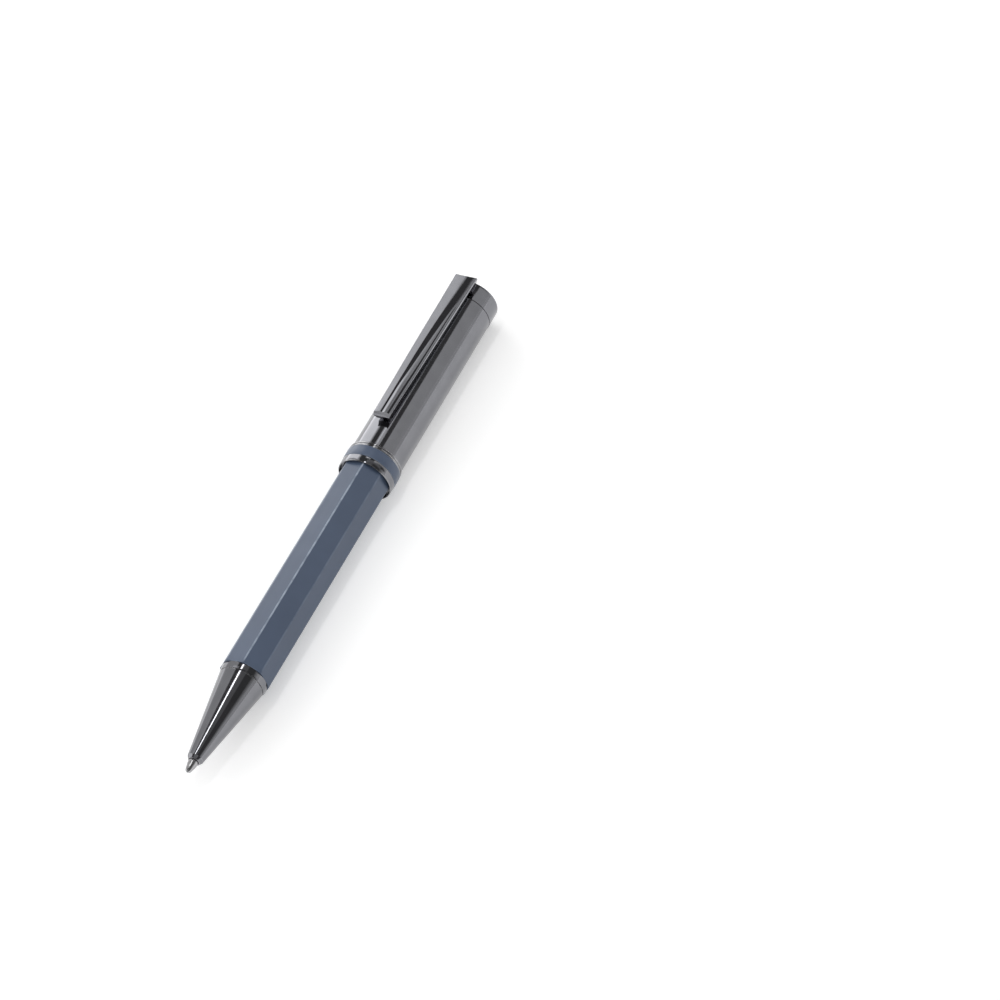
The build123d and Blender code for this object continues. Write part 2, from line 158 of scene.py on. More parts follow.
class PenFinishes(bpy.types.PropertyGroup):
    """Colours and gloss of the pen's finishes."""

    gunmetal: colour("Gunmetal", "Polished dark plating", (0.222, 0.224, 0.240))
    gunmetal_worn: colour(
        "Worn gunmetal", "Plating rubbed bright along the edges", (0.36, 0.36, 0.37))
    gunmetal_roughness: amount("Gunmetal roughness", "Gloss of the plating", 0.10)
    lacquer: colour("Lacquer", "Satin blue lacquer", (0.084, 0.114, 0.176))
    # Pale colour of the lacquer's edges and ridges: partly wear, partly a painted highlight along
    # the ridges.
    lacquer_wear_and_highlight: colour("Worn lacquer", "Lacquer rubbed pale along the ridges", (0.42, 0.48, 0.58))
    lacquer_roughness: amount("Lacquer roughness", "Gloss of the lacquer", 0.32)
    nickel_silver: colour("Nickel silver", "Turned writing point", (0.43, 0.425, 0.435))
    steel: colour("Steel", "Ball, pins and spring", (0.56, 0.57, 0.58))
    brass: colour("Brass", "Bushes and mechanism", (0.70, 0.50, 0.22))
    plastic: colour("Plastic", "Moulded inner pieces", (0.78, 0.78, 0.75))
    rubber: colour("Rubber", "Drag ring", (0.02, 0.02, 0.022))


class PenStudio(bpy.types.PropertyGroup):
    """Light and background of the studio."""

    floor: colour("Floor", "Pale floor", (0.86, 0.86, 0.86))
    ambient: amount("Ambient", "Soft light from all sides", 0.52, 4.0)
    floor_lift: amount(
        "Floor lift", "Share of white added where the floor is seen near the pen", 0.36)
    floor_far_lift: amount(
        "Far floor lift", "Share of white added where the floor is seen far from the pen", 0.75)


# Values of the noise that a finish's colour and gloss are spread over.
GRAIN_RANGE = (0.3, 0.7)
# Values of the noise that the pale edges are patchy over, and how much of the pale colour each
# takes. The pale edges are wear, and on the lacquer's ridges also a painted highlight.
PATCH_RANGE = (0.35, 0.62)
PATCH_SHARES = (0.4, 1.0)
# Scales of the patches of pale edge colour (wear, and on the lacquer a painted highlight) and of
# gloss, as multiples of the colour's, and the grain's depth.
PATCH_SCALE = 4
GLOSS_SCALE = 2.3
GRAIN_DEPTH = 0.02 * MM


def add_node(tree, kind, **values):
    node = tree.nodes.new(kind)
    for key, value in values.items():
        if key in node.inputs:
            node.inputs[key].default_value = value
        else:
            setattr(node, key, value)
    return node


def noise(tree, scale, stretch=(1.0, 1.0, 1.0), detail=3.0):
    """Grain on the piece's own coordinates, in features per metre, drawn out by the stretch."""
    place = add_node(tree, "ShaderNodeTexCoord")
    mapping = add_node(tree, "ShaderNodeMapping", Scale=stretch)
    grain = add_node(tree, "ShaderNodeTexNoise", Scale=scale, Detail=detail)
    tree.links.new(place.outputs["Object"], mapping.inputs["Vector"])
    tree.links.new(mapping.outputs["Vector"], grain.inputs["Vector"])
    return grain.outputs["Fac"]


def map_range(tree, value, places, results, **settings):
    """Carries a value from one range over to another."""
    spread = add_node(tree, "ShaderNodeMapRange", **settings)
    limits = zip(("From Min", "From Max", "To Min", "To Max"), (*places, *results))
    for key, limit in limits:
        spread.inputs[key].default_value = limit
    tree.links.new(value, spread.inputs["Value"])
    return spread.outputs["Result"]


def multiply(tree, first, second):
    product = add_node(tree, "ShaderNodeMath", operation="MULTIPLY")
    tree.links.new(first, product.inputs[0])
    tree.links.new(second, product.inputs[1])
    return product.outputs["Value"]


def vary_colour(tree, grain, base, change):
    """Colour that drifts a little either side of the one given."""
    ramp = add_node(tree, "ShaderNodeValToRGB")
    factors = (1 - change, 1 + change)
    for element, place, factor in zip(ramp.color_ramp.elements, GRAIN_RANGE, factors):
        element.position = place
        element.color = [min(1.0, part * factor) for part in base] + [1.0]
    tree.links.new(grain, ramp.inputs["Fac"])
    return ramp.outputs["Color"]


def paint_wear_and_highlight(tree, colour_in, wear_and_highlight_colour, grain):
    """Pales the edges of a piece to another colour, in uneven patches: wear, and on the lacquer's
    ridges also a painted highlight.
    """
    edge = add_node(tree, "ShaderNodeAttribute", attribute_name="edge")
    patches = map_range(tree, grain, PATCH_RANGE, PATCH_SHARES)
    wear_and_highlight = add_node(tree, "ShaderNodeMix", data_type="RGBA")
    wear_and_highlight.inputs["B"].default_value = [*wear_and_highlight_colour, 1.0]
    tree.links.new(multiply(tree, edge.outputs["Fac"], patches), wear_and_highlight.inputs["Factor"])
    tree.links.new(colour_in, wear_and_highlight.inputs["A"])
    return wear_and_highlight.outputs["Result"]


def vary_roughness(tree, shader, grain, middle, change):
    gloss = map_range(tree, grain, GRAIN_RANGE, (middle - change, middle + change))
    tree.links.new(gloss, shader.inputs["Roughness"])


def add_bump(tree, shader, grain, strength, depth):
    bump = add_node(tree, "ShaderNodeBump", Strength=strength, Distance=depth)
    tree.links.new(grain, bump.inputs["Height"])
    tree.links.new(bump.outputs["Normal"], shader.inputs["Normal"])


def finish(name, base, metallic, roughness, cloud, grain, bump, stretch=(1.0, 1.0, 1.0),
           colour_change=0.05, roughness_change=0.03, wear_and_highlight_colour=None, **sockets):
    """Node material: cloudy colour and gloss, pale edges for wear (on the lacquer also a painted
    highlight), and a fine grain in the surface.
    """
    found = bpy.data.materials.get(name)
    if found:
        return found
    material = bpy.data.materials.new(name)
    material.use_nodes = True
    tree = material.node_tree
    shader = tree.nodes["Principled BSDF"]
    shader.inputs["Metallic"].default_value = metallic
    for key, value in sockets.items():
        shader.inputs[key.replace("_", " ")].default_value = value
    shade = vary_colour(tree, noise(tree, cloud), base, colour_change)
    if wear_and_highlight_colour:
        shade = paint_wear_and_highlight(tree, shade, wear_and_highlight_colour, noise(tree, cloud * PATCH_SCALE))
    tree.links.new(shade, shader.inputs["Base Color"])
    gloss = noise(tree, cloud * GLOSS_SCALE, stretch)
    vary_roughness(tree, shader, gloss, roughness, roughness_change)
    add_bump(tree, shader, noise(tree, grain, stretch, detail=2.0), bump, GRAIN_DEPTH)
    return material


def gunmetal():
    look = bpy.context.scene.pen_finishes
    return finish(
        "polished_gunmetal", look.gunmetal, metallic=1.0, roughness=look.gunmetal_roughness,
        cloud=260.0, grain=5200.0, bump=0.012, roughness_change=0.02,
        wear_and_highlight_colour=list(look.gunmetal_worn))


def lacquer():
    look = bpy.context.scene.pen_finishes
    # The pale edge colour is wear, and on the ridges partly a painted highlight.
    return finish(
        "satin_blue_lacquer", look.lacquer, metallic=0.0, roughness=look.lacquer_roughness,
        cloud=140.0, grain=1500.0, bump=0.02, roughness_change=0.035,
        wear_and_highlight_colour=list(look.lacquer_wear_and_highlight), Specular_IOR_Level=0.5)


def nickel_silver():
    look = bpy.context.scene.pen_finishes
    return finish(
        "turned_nickel_silver", look.nickel_silver, metallic=1.0, roughness=0.2,
        cloud=500.0, grain=900.0, bump=0.03, stretch=(9.0, 1.0, 1.0),
        Specular_Tint=(0.6, 0.6, 0.62, 1.0))


def steel():
    look = bpy.context.scene.pen_finishes
    return finish(
        "bright_steel", look.steel, metallic=1.0, roughness=0.18,
        cloud=600.0, grain=4000.0, bump=0.02)


def brass():
    look = bpy.context.scene.pen_finishes
    return finish(
        "turned_brass", look.brass, metallic=1.0, roughness=0.26,
        cloud=300.0, grain=700.0, bump=0.05, stretch=(8.0, 1.0, 1.0), colour_change=0.08)


def plastic():
    look = bpy.context.scene.pen_finishes
    return finish(
        "moulded_white_plastic", look.plastic, metallic=0.0, roughness=0.42,
        cloud=250.0, grain=1800.0, bump=0.05)


def rubber():
    look = bpy.context.scene.pen_finishes
    return finish(
        "matt_black_rubber", look.rubber, metallic=0.0, roughness=0.75,
        cloud=400.0, grain=3000.0, bump=0.2, roughness_change=0.06)


def radius_of(point):
    return math.hypot(point.y, point.z - AXIS_Z)


def middle_of(edge):
    return (edge.verts[0].co + edge.verts[1].co) / 2


def only(kind, items):
    return [item for item in items if isinstance(item, kind)]


def whole(faces):
    """Faces with their edges and corners, as the operators want them."""
    parts = list(faces)
    for face in faces:
        parts += [*face.edges, *face.verts]
    return list(dict.fromkeys(parts))


def turned(outline):
    """Shape turned about the pen's axis from an outline of (place along the pen, radius) points."""
    shape = bmesh.new()
    corners = [shape.verts.new((x, 0.0, AXIS_Z + radius)) for x, radius in outline]
    pairs = list(zip(corners, corners[1:]))
    if outline[0][1] > 0 or outline[-1][1] > 0:
        pairs.append((corners[-1], corners[0]))
    lines = [shape.edges.new(pair) for pair in pairs]
    bmesh.ops.spin(
        shape, geom=corners + lines, cent=(0.0, 0.0, AXIS_Z), axis=ALONG, dvec=(0.0, 0.0, 0.0),
        angle=math.tau, steps=bpy.context.scene.pen_sizes.turning_steps,
        use_merge=True, use_duplicate=False)
    bmesh.ops.remove_doubles(shape, verts=shape.verts, dist=TOUCHING)
    bmesh.ops.recalc_face_normals(shape, faces=shape.faces)
    return shape


def bevel_edges(shape, edges, width, segments):
    bmesh.ops.bevel(
        shape, geom=edges, offset=width, offset_type="OFFSET", segments=segments, profile=0.5,
        affect="EDGES", clamp_overlap=True, material=-1)


def round_edges(shape, width, segments=3, least_turn=14.0, where=lambda place: True):
    """Rounds the edges where the surface turns by more than the least turn, in degrees."""
    limit = math.radians(least_turn)
    sharp = [
        edge for edge in shape.edges
        if len(edge.link_faces) == 2 and edge.calc_face_angle() > limit
        and where(middle_of(edge))
    ]
    bevel_edges(shape, sharp, width, segments)


def mark_edges(shape, wear_and_highlight):
    """Marks the corners inside each rounded edge with the share of the finish's pale edge colour
    there: wear, and on the lacquer's ridges also a painted highlight.
    """
    flat_turn, round_turn, widest = 3.0, 5.0, 0.3 * MM
    wear_and_highlight_layer = shape.verts.layers.float.new("edge")
    for vert in shape.verts:
        turns = {edge: math.degrees(edge.calc_face_angle(0.0)) for edge in vert.link_edges}
        across = [edge.calc_length() for edge, turn in turns.items() if turn < flat_turn]
        if across and max(across) < widest and max(turns.values()) > round_turn:
            vert[wear_and_highlight_layer] = wear_and_highlight(vert.co)


def add_piece(name, shape, material, body, node, crease=38.0, wear_and_highlight=lambda place: 1.0):
    """Object for a finished shape, riding on its body in place of its solid."""
    mesh = bpy.data.meshes.new(name)
    mark_edges(shape, wear_and_highlight)
    for face in shape.faces:
        face.smooth = True
    shape.to_mesh(mesh)
    shape.free()
    if crease:
        mesh.set_sharp_from_angle(angle=math.radians(crease))
    mesh.materials.append(material)
    piece = bpy.data.objects.new(name, mesh)
    bpy.context.scene.collection.objects.link(piece)
    even = piece.modifiers.new("even_normals", "WEIGHTED_NORMAL")
    even.keep_sharp = True
    even.weight = 100
    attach(piece, body)
    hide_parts(node)


def paint(node, material):
    """Gives a solid that keeps its own shape a finish."""
    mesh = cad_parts[node].data
    mesh.materials.clear()
    mesh.materials.append(material)


class PEN_OT_writing_point(bpy.types.Operator):
    """Turn the metal point that holds the writing ball"""

    bl_idname = "pen.writing_point"
    bl_label = "Writing point"

    def execute(self, context):
        sizes = context.scene.pen_sizes
        start, end = span("refill_point")
        outer = reach("refill_point")
        tip, shank = sizes.point_tip, sizes.point_shank
        crimp_end, crimp = start + 0.22 * MM, 0.75 * tip
        cone_end, shank_end = start + 1.9 * MM, start + 2.9 * MM
        tail_start, tail = end - 4.0 * MM, 0.55 * MM
        mouth = 0.36 * MM
        seat_place, seat = start + 0.4 * MM, 0.3 * MM
        channel_start, channel = start + 0.55 * MM, 0.2 * MM
        shape = turned([
            (start, mouth), (start, crimp), (crimp_end, tip), (cone_end, shank),
            (shank_end, shank), (shank_end, outer), (tail_start, outer), (tail_start, tail),
            (end, tail), (end, channel), (channel_start, channel), (seat_place, seat),
        ])
        round_edges(shape, sizes.fine_round)
        add_piece("turned_point", shape, nickel_silver(), "refill", "refill_point")
        paint("writing_ball", steel())
        return {"FINISHED"}


class PEN_OT_nose(bpy.types.Operator):
    """Turn the conical nose with its chamfered rim and engraved line"""

    bl_idname = "pen.nose"
    bl_label = "Nose"

    def execute(self, context):
        sizes = context.scene.pen_sizes
        start, end = span("nose_cone")
        start += sizes.nose_setback
        base = reach("nose_cone")
        lip_end = start + sizes.nose_lip_length

        def cone(x):
            return sizes.nose_lip + (x - lip_end) / (end - lip_end) * (base - sizes.nose_lip)

        line_end = end - sizes.nose_line_offset
        line_start = line_end - sizes.nose_line_width
        floor = cone(line_start) - sizes.nose_line_depth
        neck, neck_bore = start + 4.6 * MM, 1.66 * MM
        spring_start, spring_bore = start + 8.2 * MM, 2.4 * MM
        thread_start, thread_bore = end - 5.1 * MM, 3.9 * MM
        shape = turned([
            (start, sizes.nose_rim), (lip_end, sizes.nose_lip),
            (line_start, cone(line_start)), (line_start, floor),
            (line_end, floor), (line_end, cone(line_end)),
            (end, base), (end, thread_bore), (thread_start, thread_bore),
            (spring_start, spring_bore), (neck, neck_bore),
            (neck, sizes.nose_tip_hole), (start, sizes.nose_tip_hole),
        ])
        outside_lip = sizes.nose_lip * 1.2
        past_lip = lip_end + 0.1 * MM
        round_edges(shape, sizes.fine_round, where=lambda p: radius_of(p) > outside_lip)
        round_edges(shape, sizes.edge_round, where=lambda p: p.x < past_lip)
        add_piece("nose_shell", shape, gunmetal(), "lower_body", "nose_cone")
        return {"FINISHED"}


class PEN_OT_barrel(bpy.types.Operator):
    """Draw the octagonal barrel with softly rounded ridges"""

    bl_idname = "pen.barrel"
    bl_label = "Barrel"

    def execute(self, context):
        sizes = context.scene.pen_sizes
        start, end = span("lower_barrel")
        sides, ridge_steps = 8, 7
        half_side = math.pi / sides
        corner = sizes.barrel_across_flats / 2 / math.cos(half_side)
        shape = bmesh.new()
        ring = bmesh.ops.create_circle(shape, cap_ends=False, radius=corner, segments=sides)
        turn = Matrix.Rotation(math.radians(90) + sizes.barrel_turn - half_side, 4, "X")
        face_along = Matrix(((0, 0, 1, 0), (1, 0, 0, 0), (0, 1, 0, 0), (0, 0, 0, 1)))
        place = Matrix.Translation((start, 0.0, AXIS_Z))
        bmesh.ops.transform(shape, matrix=place @ turn @ face_along, verts=ring["verts"])
        rim = shape.edges[:]
        end_length = 1.0 * MM
        for advance in (end_length, end - start - 2 * end_length, end_length):
            drawn = bmesh.ops.extrude_edge_only(shape, edges=rim)["geom"]
            moved = only(bmesh.types.BMVert, drawn)
            bmesh.ops.translate(shape, vec=(advance, 0.0, 0.0), verts=moved)
            edges = only(bmesh.types.BMEdge, drawn)
            rim = [edge for edge in edges if all(vert in moved for vert in edge.verts)]
        ridges = [
            edge for edge in shape.edges
            if abs(edge.verts[0].co.x - edge.verts[1].co.x) > end_length / 2
        ]
        bevel_edges(shape, ridges, sizes.barrel_ridge_round * math.tan(half_side), ridge_steps)
        for x in (start, end):
            self.close_end(sizes, shape, x)
        open_edges = [edge for edge in shape.edges if edge.is_boundary]
        bmesh.ops.bridge_loops(shape, edges=open_edges)
        bmesh.ops.recalc_face_normals(shape, faces=shape.faces)
        round_edges(shape, sizes.fine_round * 2, segments=2, least_turn=60.0)
        # Pale ridges: wear on every ridge, and a painted highlight on the top ridge.
        add_piece("lacquered_barrel", shape, lacquer(), "lower_body", "lower_barrel",
                  wear_and_highlight=self.wear_and_highlight)
        return {"FINISHED"}

    def close_end(self, sizes, shape, x):
        """Draws the barrel's end face in from the outside to the bore."""
        rim = [
            edge for edge in shape.edges
            if all(abs(vert.co.x - x) < LEVEL for vert in edge.verts)
        ]
        wall = bmesh.ops.extrude_edge_only(shape, edges=rim)
        for vert in only(bmesh.types.BMVert, wall["geom"]):
            scale = sizes.barrel_bore / radius_of(vert.co)
            vert.co.y *= scale
            vert.co.z = AXIS_Z + (vert.co.z - AXIS_Z) * scale

    def wear_and_highlight(self, place):
        """Share of the pale ridge colour: a little on every ridge for wear, and most on the top
        ridge as a painted highlight.
        """
        least, focus = 0.15, 12
        # The share climbs steeply towards the ridge that faces straight up: painted highlight.
        upward = max(0.0, (place.z - AXIS_Z) / radius_of(place))
        return least + (1 - least) * upward ** focus


class PEN_OT_ring_and_band(bpy.types.Operator):
    """Turn the centre ring and the lacquered band above it"""

    bl_idname = "pen.ring_and_band"
    bl_label = "Ring and band"

    def execute(self, context):
        sizes = context.scene.pen_sizes
        start, end = span("center_ring")
        outer = reach("center_ring")
        front = outer - sizes.ring_taper
        bevel = sizes.ring_edge_bevel
        floor = start + sizes.ring_mouth_depth
        ring = turned([
            (start, front - bevel), (start + bevel, front), (end - bevel, outer),
            (end, outer - bevel), (end, sizes.spigot), (floor, sizes.spigot),
            (floor, sizes.ring_mouth), (start, sizes.ring_mouth),
        ])
        round_edges(ring, sizes.fine_round)
        add_piece("polished_ring", ring, gunmetal(), "upper_body", "center_ring")
        start, end = span("lacquered_band")
        outer = reach("lacquered_band")
        band = turned([(start, outer), (end, outer), (end, sizes.spigot), (start, sizes.spigot)])
        round_edges(band, sizes.edge_round)
        # The band's edges take half of the pale lacquer colour, which is wear and partly a painted
        # highlight.
        add_piece("blue_band", band, lacquer(), "upper_body", "lacquered_band",
                  wear_and_highlight=lambda place: 0.5)
        return {"FINISHED"}


class PEN_OT_cap(bpy.types.Operator):
    """Turn the plain cap with the two beads at its foot"""

    bl_idname = "pen.cap"
    bl_label = "Cap"

    def execute(self, context):
        sizes = context.scene.pen_sizes
        spigot_start, end = span("cap_tube")
        foot = span("lacquered_band")[1]
        bead = reach("cap_tube")
        groove_start = foot + sizes.cap_bead_length
        groove_end = groove_start + sizes.cap_groove_length
        bead_end = groove_end + sizes.cap_bead_length
        floor = bead - sizes.cap_groove_depth
        bevel = sizes.cap_joint_bevel
        bead_slope, spigot_play = 0.12 * MM, 0.02 * MM
        spigot = sizes.spigot - spigot_play
        shape = turned([
            (foot, bead), (groove_start, bead), (groove_start, floor),
            (groove_end, floor), (groove_end, bead), (bead_end, bead),
            (bead_end + bead_slope, sizes.cap_radius), (end - bevel, sizes.cap_radius),
            (end, sizes.cap_radius - bevel), (end, sizes.cap_bore),
            (spigot_start, sizes.cap_bore), (spigot_start, spigot), (foot, spigot),
        ])
        round_edges(
            shape, 2 * sizes.edge_round, segments=4,
            where=lambda p: radius_of(p) > bead - LEVEL)
        round_edges(
            shape, sizes.fine_round,
            where=lambda p: p.x > end - 2 * bevel and radius_of(p) > sizes.cap_bore)
        add_piece("plain_cap", shape, gunmetal(), "upper_body", "cap_tube")
        return {"FINISHED"}


class PEN_OT_finial(bpy.types.Operator):
    """Finish the finial at the top of the cap"""

    bl_idname = "pen.finial"
    bl_label = "Finial"

    def execute(self, context):
        paint("finial", gunmetal())
        return {"FINISHED"}


# The clip's face, drawn at places from its free end to its root. Each row gives the share of the
# length and the width in mm. Then come, as shares of the width from the far edge, the places where
# the plain side ends, the long groove starts and ends, its near wall starts and ends, the middle
# bar turns flat, the short groove starts and ends, and the near bevel starts. The second line is
# the tilt in degrees of the plain side, the long groove, the start and end of its wall, the middle
# bar and the short groove.
CLIP_FACE = (
    (0.00, 4.08, 0.330, 0.350, 0.440, 0.455, 0.525, 0.620, 0.758, 0.854, 0.970,
     -2.5, 7.5, -6.0, -5.5, 1.4, 7.0),
    (0.15, 4.24, 0.330, 0.350, 0.440, 0.455, 0.525, 0.620, 0.758, 0.854, 0.970,
     -2.5, 7.5, -6.0, -5.5, 1.4, 7.0),
    (0.225, 4.36, 0.330, 0.350, 0.445, 0.462, 0.530, 0.610, 0.764, 0.852, 0.965,
     -2.4, 7.5, -4.0, -3.0, 1.2, 6.5),
    (0.30, 4.50, 0.330, 0.355, 0.485, 0.505, 0.590, 0.655, 0.778, 0.850, 0.955,
     -2.2, 7.5, -1.8, -1.1, 0.5, 6.0),
    (0.44, 4.73, 0.332, 0.367, 0.545, 0.567, 0.635, 0.710, 0.792, 0.842, 0.940,
     -1.9, 7.0, -1.3, -0.8, 0.1, 5.5),
    (0.59, 4.93, 0.355, 0.400, 0.615, 0.637, 0.695, 0.745, 0.795, 0.832, 0.930,
     -1.85, 6.5, -1.2, -0.8, 0.0, 4.5),
    (0.735, 5.10, 0.395, 0.462, 0.690, 0.715, 0.750, 0.768, 0.802, 0.828, 0.928,
     -1.85, 6.0, -0.8, -0.5, 0.0, 3.0),
    (0.81, 5.18, 0.410, 0.530, 0.700, 0.755, 0.808, 0.827, 0.850, 0.865, 0.930,
     -1.85, 5.5, 1.2, 0.9, 0.3, 0.1),
    (1.00, 5.46, 0.455, 0.665, 0.715, 0.805, 0.855, 0.882, 0.900, 0.912, 0.940,
     -1.85, 4.5, 1.1, 0.7, 0.3, 0.1),
)
# Shares of the width over which the short groove falls and rises and the near bevel turns, the
# tilt of that bevel, and the steps that each stretch of the face is drawn in.
SHORT_FALL, SHORT_RISE, BEVEL_TURN = 0.015, 0.014, 0.015
NEAR_BEVEL_TILT = 14.0
FACE_STEPS = 3


def along_table(table, share):
    """Row of a table at a share of the length, on a smooth curve through its rows."""
    last = len(table) - 1
    index = max(row for row in range(last) if table[row][0] <= share)
    around = range(index - 1, index + 3)
    before, start, end, after = (table[min(max(row, 0), last)] for row in around)
    step = end[0] - start[0]
    part = (share - start[0]) / step
    soft = part * part * (3 - 2 * part)
    row = []
    for column in range(1, len(start)):
        slope_in = (end[column] - before[column]) / (end[0] - before[0]) * step
        slope_out = (after[column] - start[column]) / (after[0] - start[0]) * step
        bend = part * (1 - part) * ((1 - part) * slope_in - part * slope_out)
        row.append(start[column] + soft * (end[column] - start[column]) + bend)
    return row


class PEN_OT_clip(bpy.types.Operator):
    """Draw the long clip along its fluted section, with its nub and foot"""

    bl_idname = "pen.clip"
    bl_label = "Clip"

    def execute(self, context):
        sizes = context.scene.pen_sizes
        end, root = span("clip")
        under = self.underside(sizes)
        joint = span("cap_tube")[1]
        foot = (joint + 0.75 * MM, joint + 1.75 * MM)
        nub_half, nub_width, nub_clearance = 0.6 * MM, 2.2 * MM, 0.1 * MM
        nub_middle = end + sizes.clip_nub_setback
        nub = (nub_middle - nub_half, nub_middle + nub_half)
        bevel_end, first, last = end + sizes.clip_end_bevel_length, nub[1] + 1.0 * MM, foot[0]
        sections = 24
        places = [first + (last - first) * step / sections for step in range(sections)]
        places = [end, bevel_end, *nub, *places, *foot, root - 0.2 * MM, root]
        shape = self.draw_bar(sizes, end, root, places)
        self.round_long_edges(sizes, shape)
        self.cut_ends(sizes, shape, end, root, under)
        self.grow_down(shape, nub, under, nub_width, sizes.clip_gap - nub_clearance)
        pivot = AXIS_Z + reach("finial") - 1.4 * MM
        foot_height = under - pivot + 0.45 * MM
        self.grow_down(shape, foot, under, sizes.clip_foot_width, foot_height)
        inner_start, inner_end = end + 0.8 * MM, root - 0.15 * MM
        round_edges(
            shape, sizes.clip_edge_round, segments=4, least_turn=33.0,
            where=lambda p: inner_start < p.x < inner_end)
        bmesh.ops.dissolve_degenerate(shape, dist=TINY, edges=shape.edges)
        add_piece("fluted_clip", shape, gunmetal(), "clip", "clip", crease=None)
        return {"FINISHED"}

    def underside(self, sizes):
        """Height of the clip's flat underside."""
        return AXIS_Z + sizes.cap_radius + sizes.clip_gap

    def face_line(self, share):
        """Width of the clip's face at a share of its length, and points across it."""
        row = along_table(CLIP_FACE, share)
        width = row[0] * MM
        plain_end, start, end, wall, wall_end, flat, short, short_end, bevel = row[1:10]
        plain_tilt, groove_tilt, wall_tilt, wall_end_tilt, bar_tilt, short_tilt = row[10:]
        controls = [
            (0.0, plain_tilt), (plain_end, plain_tilt), (start, groove_tilt), (end, groove_tilt),
            (wall, wall_tilt), (wall_end, wall_end_tilt), (flat, bar_tilt),
            (short - SHORT_FALL, 0.0), (short, short_tilt), (short_end, short_tilt),
            (short_end + SHORT_RISE, 0.0), (bevel, 0.0), (bevel + BEVEL_TURN, NEAR_BEVEL_TILT),
            (1.0, NEAR_BEVEL_TILT),
        ]
        points = [(0.0, 0.0)]
        for (place, tilt), (next_place, next_tilt) in zip(controls, controls[1:]):
            step = (next_place - place) / FACE_STEPS
            for count in range(FACE_STEPS):
                turn = tilt + (next_tilt - tilt) * (count + 0.5) / FACE_STEPS
                slope = math.tan(math.radians(turn))
                across, fall = points[-1]
                points.append((across + step * width, fall + slope * step * width))
        return width, points

    def section(self, sizes, share):
        """Points round the clip at a share of its length, from the far lower corner on."""
        width, face = self.face_line(share)
        under = self.underside(sizes)
        change = sizes.clip_root_thickness - sizes.clip_end_thickness
        top = under + (sizes.clip_end_thickness + share * change)
        highest = min(fall for across, fall in face)
        points = [(width / 2 - across, top + highest - fall) for across, fall in face]
        foot = width / 2 - sizes.clip_undercut
        return [(foot, under), *points, (-foot, under)]

    def draw_bar(self, sizes, end, root, places):
        """Draws the section along the clip. Each corner keeps its number from end to end."""
        shape = bmesh.new()
        number = shape.verts.layers.int.new("number")
        first = self.section(sizes, 0.0)
        face = shape.faces.new([shape.verts.new((end, *point)) for point in first])
        for count, vert in enumerate(face.verts):
            vert[number] = count
        for place in places[1:]:
            grown = bmesh.ops.extrude_face_region(shape, geom=whole([face]))
            face = only(bmesh.types.BMFace, grown["geom"])[0]
            section = self.section(sizes, (place - end) / (root - end))
            for vert in face.verts:
                vert.co = (place, *section[vert[number]])
        bmesh.ops.recalc_face_normals(shape, faces=shape.faces)
        return shape

    def round_long_edges(self, sizes, shape):
        """Rounds the two long edges of the face, the far one more than the near one."""
        half, height = 1.9 * MM, AXIS_Z + 7.0 * MM
        round_edges(
            shape, sizes.clip_far_round, segments=5, least_turn=50.0,
            where=lambda p: p.y > half and p.z > height)
        round_edges(
            shape, sizes.clip_near_round, segments=3, least_turn=50.0,
            where=lambda p: p.y < -half and p.z > height)

    def cut_ends(self, sizes, shape, end, root, under):
        """Cuts the free end's bevel and lean, and takes the sharp edges off both ends."""
        fine = sizes.clip_edge_round
        drop, run = sizes.clip_end_bevel, sizes.clip_end_bevel_length
        lean, ridge_share, ridge_cut = math.radians(20), 0.93, 0.3
        corner = Vector((end, 0.0, under + sizes.clip_end_thickness - drop))
        bevel = Vector((-drop, 0.0, run)).normalized()
        face = Vector((-math.cos(lean), 0.0, -math.sin(lean)))
        self.cut(shape, corner, face)
        self.cut(shape, corner, bevel)
        self.cut(shape, corner - (bevel + face).normalized() * fine, bevel + face)
        ridge = corner + Vector((run, 0.0, drop)) * ridge_share
        self.cut(shape, ridge - bevel * ridge_cut * fine, bevel + UPWARD)
        root_edge = Vector((root - 2 * fine, 0.0, under + sizes.clip_root_thickness))
        self.cut(shape, root_edge, ALONG + UPWARD)
        radius = sizes.clip_corner_round
        half = CLIP_FACE[-1][1] * MM / 2
        for side in (-1, 1):
            centre = Vector((root - radius, side * (half - radius), 0.0))
            for turn in map(math.radians, (18, 36, 54, 72)):
                facing = Vector((math.cos(turn), side * math.sin(turn), 0.0))
                self.cut(shape, centre + facing * radius, facing)

    def cut(self, shape, place, facing):
        """Cuts away what lies in front of a plane, and closes the cut with a flat face."""
        bmesh.ops.bisect_plane(
            shape, geom=[*shape.verts, *shape.edges, *shape.faces], dist=TOUCHING,
            plane_co=place, plane_no=facing.normalized(), clear_outer=True)
        rim = [edge for edge in shape.edges if edge.is_boundary]
        bmesh.ops.edgeloop_fill(shape, edges=rim)
        for edge in rim:
            edge.smooth = False
        bmesh.ops.recalc_face_normals(shape, faces=shape.faces)

    def grow_down(self, shape, places, under, width, height):
        """Draws a block of a given width down out of the clip's flat underside."""
        facing_down, widest_round, round_share, round_steps = -0.9, 0.45 * MM, 0.8, 5

        def underside():
            middles = [(face, face.calc_center_median()) for face in shape.faces]
            return [
                face for face, middle in middles
                if face.normal.z < facing_down and places[0] < middle.x < places[1]
                and abs(middle.z - under) < LEVEL
            ]

